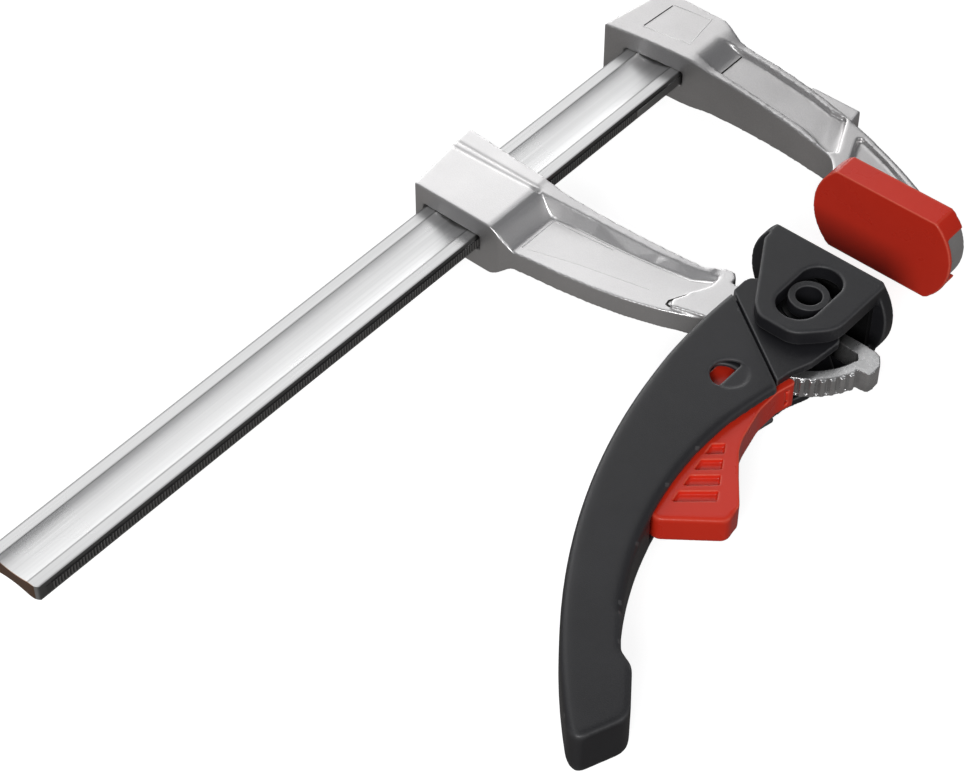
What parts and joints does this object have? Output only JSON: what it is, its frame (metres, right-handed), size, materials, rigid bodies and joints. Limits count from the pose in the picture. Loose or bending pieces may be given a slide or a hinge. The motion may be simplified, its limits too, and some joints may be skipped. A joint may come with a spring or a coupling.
{
  "type": "quick release bar clamp",
  "caption": "Light bar clamp with cast jaws on a serrated steel rail, a ratcheting curved lever with a release trigger, and soft pressure caps.",
  "frame": {"origin": "centre of the fixed jaw's clamping face", "axes": "+Y along the rail towards the fixed jaw, +X from the rail out to the pads, +Z square to the clamp's plane"},
  "size_m": [0.1608, 0.2773, 0.0276],
  "materials": {
    "rail_steel": "bright drawn bar with satin faces and darker serrated edges",
    "casting": "silver-grey die casting, fine blasted texture",
    "hard_steel": "hardened steel, semi-polished",
    "red_plastic": "glossy moulded plastic",
    "black_plastic": "fine-textured black glass-filled nylon"
  },
  "bodies": {
    "frame_body": {"rail": "rail_steel", "fixed_jaw": "casting", "jaw_dowels": "hard_steel", "jaw_cap": "red_plastic"},
    "arm_body": {"sliding_arm": "casting", "grip_pins": "hard_steel", "toothed_sector": "hard_steel", "sector_rivets": "hard_steel", "pivot_sleeve": "black_plastic", "pivot_washers": "hard_steel"},
    "cap_body": {"pressure_cap": "black_plastic", "pressure_plate": "hard_steel"},
    "lever_body": {"lever_head": "black_plastic", "lever_grip": "black_plastic", "trigger_pin": "hard_steel", "trigger_spring": "hard_steel"},
    "trigger_body": {"trigger": "red_plastic", "pawl": "hard_steel", "pawl_pin": "hard_steel"}
  },
  "joints": [
    {"name": "arm_slide", "type": "slide", "parent": "frame_body", "child": "arm_body", "axis": [0, 1, 0], "range_m": [-0.15, 0.0235]},
    {"name": "lever_turn", "type": "hinge", "parent": "arm_body", "child": "lever_body", "pos_m": [0.0048, -0.0422, 0], "axis": [0, 0, 1], "range_deg": [-22, 36]},
    {"name": "cap_slide", "type": "slide", "parent": "arm_body", "child": "cap_body", "axis": [0, 1, 0], "range_m": [-0.0033, 0.0021]},
    {"name": "trigger_turn", "type": "hinge", "parent": "lever_body", "child": "trigger_body", "pos_m": [0.0056, -0.084, 0], "axis": [0, 0, 1], "range_deg": [-12, 0], "stiffness_Nm_per_rad": 0.3, "springref_deg": 11.46}
  ],
  "couplings": [
    {"joint": "cap_slide", "follows": "lever_turn", "m_per_rad": -0.0047}
  ]
}
